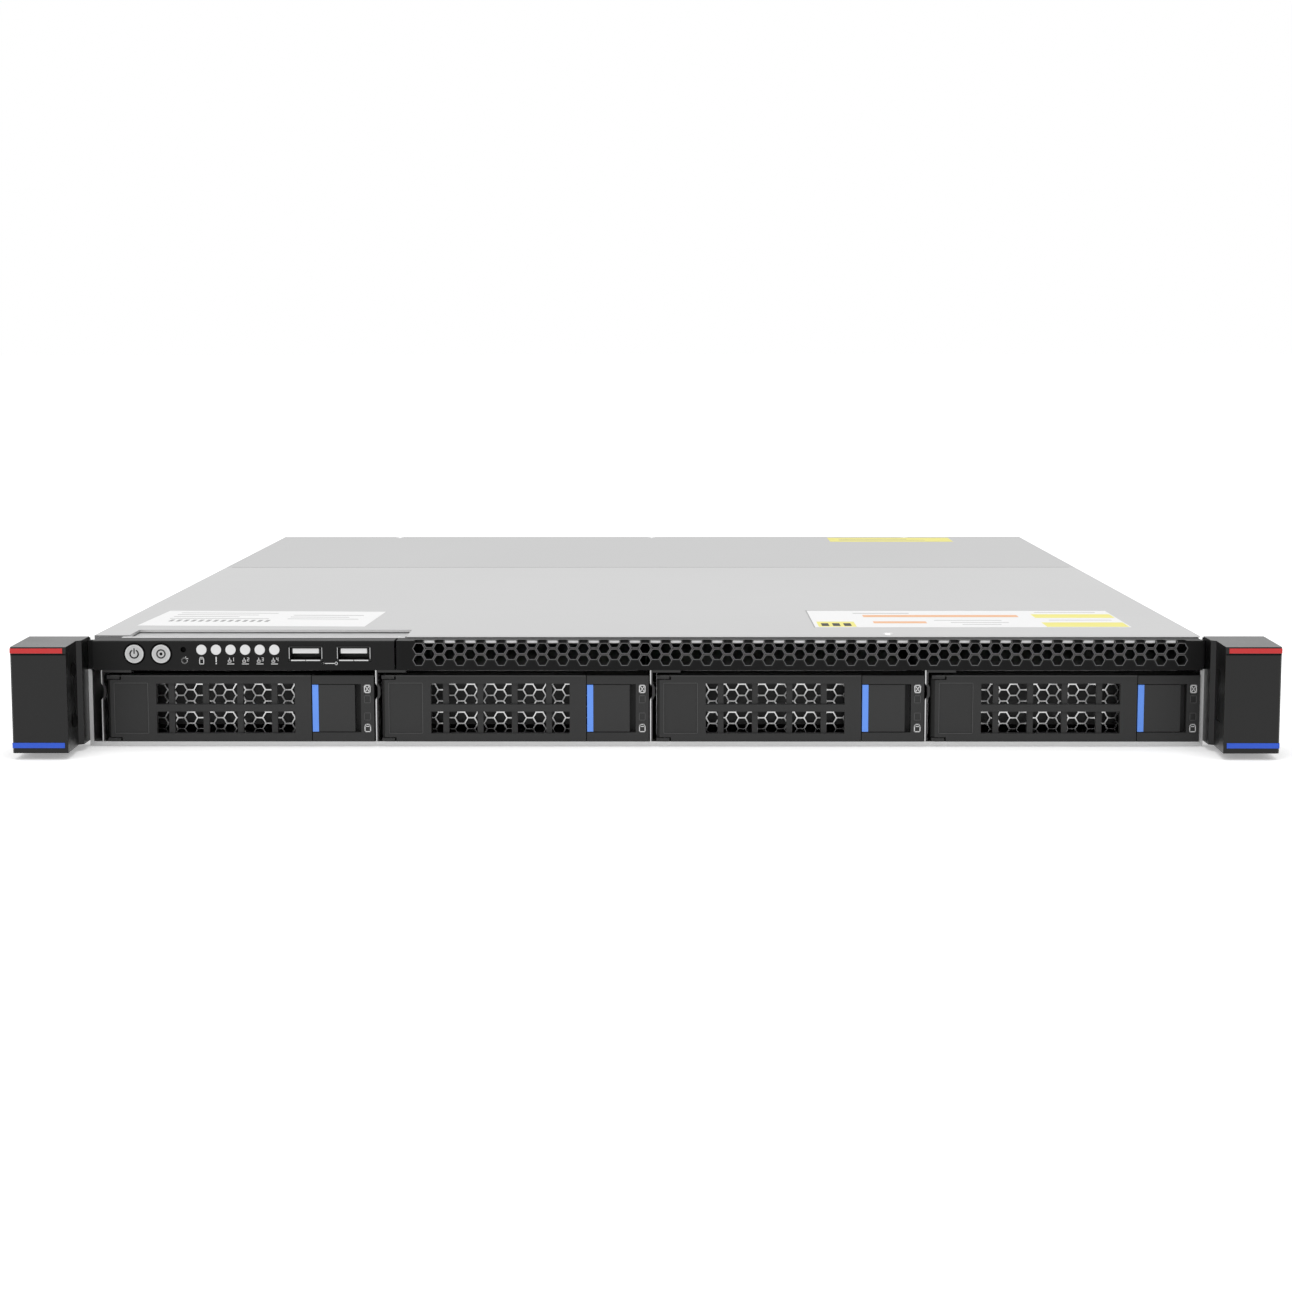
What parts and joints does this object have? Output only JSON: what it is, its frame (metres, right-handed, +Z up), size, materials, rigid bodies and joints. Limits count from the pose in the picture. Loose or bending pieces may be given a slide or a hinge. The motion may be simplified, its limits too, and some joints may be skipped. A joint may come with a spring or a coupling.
{
  "type": "1u rack server",
  "caption": "Flat rack-mount server with hot-swap drive carriers, perforated air intake, button and lamp panel, rack ears, lift-off lids, fans and slide-in power supplies.",
  "frame": {"origin": "middle of the width on the underside, level with the back faces of the rack ears, which meet the rack posts", "axes": "+X to the viewer's right at the front, +Y back into the rack, +Z up"},
  "size_m": [0.4852, 0.5648, 0.0432],
  "materials": {
    "steel": "zinc plated sheet",
    "cover_steel": "satin zinc plated sheet",
    "black_plastic": "fine grained",
    "carrier_plastic": "fine grained",
    "ear_plastic": "fine grained",
    "latch_plastic": "fine grained with a blue band",
    "button_metal": "satin",
    "lens": "milky",
    "red": "gloss",
    "blue": "gloss",
    "circuit_board": "solder mask",
    "black_metal": "powder coat",
    "connector": "gloss",
    "socket_metal": "bright nickel",
    "aluminium": "extruded",
    "drive_metal": "cast",
    "supply_steel": "zinc plated sheet",
    "fan_plastic": "moulded"
  },
  "bodies": {
    "chassis": {"chassis_pan": "steel", "bay_partitions": "steel", "front_bridge": "steel", "front_grille": "black_plastic", "control_panel_bezel": "black_plastic", "status_lenses": "lens", "usb_ports": "socket_metal", "control_board": "circuit_board", "ear_bracket_left": "black_metal", "ear_bracket_right": "black_metal", "ear_housing_left": "ear_plastic", "ear_housing_right": "ear_plastic", "ear_red_inlays": "red", "ear_blue_inlays": "blue", "backplane": "circuit_board", "fan_wall": "steel", "fan_frames": "fan_plastic", "mainboard": "circuit_board", "cpu_heatsinks": "aluminium", "memory_modules": "circuit_board", "air_shroud": "black_plastic", "riser_card": "circuit_board", "slot_blank": "steel", "rear_panel": "steel", "rear_sockets": "socket_metal", "power_board": "circuit_board"},
    "front_cover": {"front_cover": "cover_steel"},
    "rear_cover": {"rear_cover": "cover_steel", "rear_cover_lips": "cover_steel"},
    "power_button": {"power_button": "button_metal"},
    "id_button": {"id_button": "button_metal"},
    "reset_button": {"reset_button": "connector"},
    "carrier_1": {"carrier_frame_1": "carrier_plastic", "carrier_tray_1": "steel", "drive_1": "drive_metal"},
    "lever_1": {"carrier_lever_1": "carrier_plastic"},
    "latch_1": {"carrier_latch_1": "latch_plastic"},
    "rotor_1": {"fan_rotor_1": "fan_plastic"},
    "carrier_2": {"carrier_frame_2": "carrier_plastic", "carrier_tray_2": "steel", "drive_2": "drive_metal"},
    "lever_2": {"carrier_lever_2": "carrier_plastic"},
    "latch_2": {"carrier_latch_2": "latch_plastic"},
    "rotor_2": {"fan_rotor_2": "fan_plastic"},
    "carrier_3": {"carrier_frame_3": "carrier_plastic", "carrier_tray_3": "steel", "drive_3": "drive_metal"},
    "lever_3": {"carrier_lever_3": "carrier_plastic"},
    "latch_3": {"carrier_latch_3": "latch_plastic"},
    "rotor_3": {"fan_rotor_3": "fan_plastic"},
    "carrier_4": {"carrier_frame_4": "carrier_plastic", "carrier_tray_4": "steel", "drive_4": "drive_metal"},
    "lever_4": {"carrier_lever_4": "carrier_plastic"},
    "latch_4": {"carrier_latch_4": "latch_plastic"},
    "rotor_4": {"fan_rotor_4": "fan_plastic"},
    "supply_1": {"power_supply_1": "supply_steel"},
    "supply_latch_1": {"supply_latch_1": "latch_plastic"},
    "supply_2": {"power_supply_2": "supply_steel"},
    "supply_latch_2": {"supply_latch_2": "latch_plastic"}
  },
  "joints": [
    {"name": "front_cover_lift", "type": "slide", "parent": "chassis", "child": "front_cover", "axis": [0, 0, 1], "range_m": [0, 0.06]},
    {"name": "rear_cover_lift", "type": "slide", "parent": "chassis", "child": "rear_cover", "axis": [0, 0, 1], "range_m": [0, 0.06]},
    {"name": "power_button_press", "type": "slide", "parent": "chassis", "child": "power_button", "axis": [0, 1, 0], "range_m": [0, 0.0008], "stiffness_N_per_m": 900, "springref_m": -0.0008},
    {"name": "id_button_press", "type": "slide", "parent": "chassis", "child": "id_button", "axis": [0, 1, 0], "range_m": [0, 0.0008], "stiffness_N_per_m": 900, "springref_m": -0.0008},
    {"name": "reset_button_press", "type": "slide", "parent": "chassis", "child": "reset_button", "axis": [0, 1, 0], "range_m": [0, 0.0008], "stiffness_N_per_m": 900, "springref_m": -0.0008},
    {"name": "carrier_1_slide", "type": "slide", "parent": "chassis", "child": "carrier_1", "axis": [0, -1, 0], "range_m": [0, 0.165]},
    {"name": "lever_1_swing", "type": "hinge", "parent": "carrier_1", "child": "lever_1", "pos_m": [-0.2084, -0.0048, 0.0151], "axis": [0, 0, -1], "range_deg": [0, 60]},
    {"name": "latch_1_slide", "type": "slide", "parent": "carrier_1", "child": "latch_1", "axis": [1, 0, 0], "range_m": [0, 0.0022], "stiffness_N_per_m": 400, "springref_m": -0.001},
    {"name": "carrier_2_slide", "type": "slide", "parent": "chassis", "child": "carrier_2", "axis": [0, -1, 0], "range_m": [0, 0.165]},
    {"name": "lever_2_swing", "type": "hinge", "parent": "carrier_2", "child": "lever_2", "pos_m": [-0.1004, -0.0048, 0.0151], "axis": [0, 0, -1], "range_deg": [0, 60]},
    {"name": "latch_2_slide", "type": "slide", "parent": "carrier_2", "child": "latch_2", "axis": [1, 0, 0], "range_m": [0, 0.0022], "stiffness_N_per_m": 400, "springref_m": -0.001},
    {"name": "carrier_3_slide", "type": "slide", "parent": "chassis", "child": "carrier_3", "axis": [0, -1, 0], "range_m": [0, 0.165]},
    {"name": "lever_3_swing", "type": "hinge", "parent": "carrier_3", "child": "lever_3", "pos_m": [0.0076, -0.0048, 0.0151], "axis": [0, 0, -1], "range_deg": [0, 60]},
    {"name": "latch_3_slide", "type": "slide", "parent": "carrier_3", "child": "latch_3", "axis": [1, 0, 0], "range_m": [0, 0.0022], "stiffness_N_per_m": 400, "springref_m": -0.001},
    {"name": "carrier_4_slide", "type": "slide", "parent": "chassis", "child": "carrier_4", "axis": [0, -1, 0], "range_m": [0, 0.165]},
    {"name": "lever_4_swing", "type": "hinge", "parent": "carrier_4", "child": "lever_4", "pos_m": [0.1156, -0.0048, 0.0151], "axis": [0, 0, -1], "range_deg": [0, 60]},
    {"name": "latch_4_slide", "type": "slide", "parent": "carrier_4", "child": "latch_4", "axis": [1, 0, 0], "range_m": [0, 0.0022], "stiffness_N_per_m": 400, "springref_m": -0.001},
    {"name": "rotor_1_spin", "type": "hinge", "parent": "chassis", "child": "rotor_1", "pos_m": [-0.18, 0.214, 0.0212], "axis": [0, 1, 0], "continuous": true},
    {"name": "rotor_2_spin", "type": "hinge", "parent": "chassis", "child": "rotor_2", "pos_m": [-0.11, 0.214, 0.0212], "axis": [0, 1, 0], "continuous": true},
    {"name": "rotor_3_spin", "type": "hinge", "parent": "chassis", "child": "rotor_3", "pos_m": [-0.04, 0.214, 0.0212], "axis": [0, 1, 0], "continuous": true},
    {"name": "rotor_4_spin", "type": "hinge", "parent": "chassis", "child": "rotor_4", "pos_m": [0.03, 0.214, 0.0212], "axis": [0, 1, 0], "continuous": true},
    {"name": "supply_1_slide", "type": "slide", "parent": "chassis", "child": "supply_1", "axis": [0, 1, 0], "range_m": [0, 0.187]},
    {"name": "supply_latch_1_press", "type": "slide", "parent": "supply_1", "child": "supply_latch_1", "axis": [-1, 0, 0], "range_m": [0, 0.003], "stiffness_N_per_m": 400, "springref_m": -0.001},
    {"name": "supply_2_slide", "type": "slide", "parent": "chassis", "child": "supply_2", "axis": [0, 1, 0], "range_m": [0, 0.187]},
    {"name": "supply_latch_2_press", "type": "slide", "parent": "supply_2", "child": "supply_latch_2", "axis": [-1, 0, 0], "range_m": [0, 0.003], "stiffness_N_per_m": 400, "springref_m": -0.001}
  ]
}
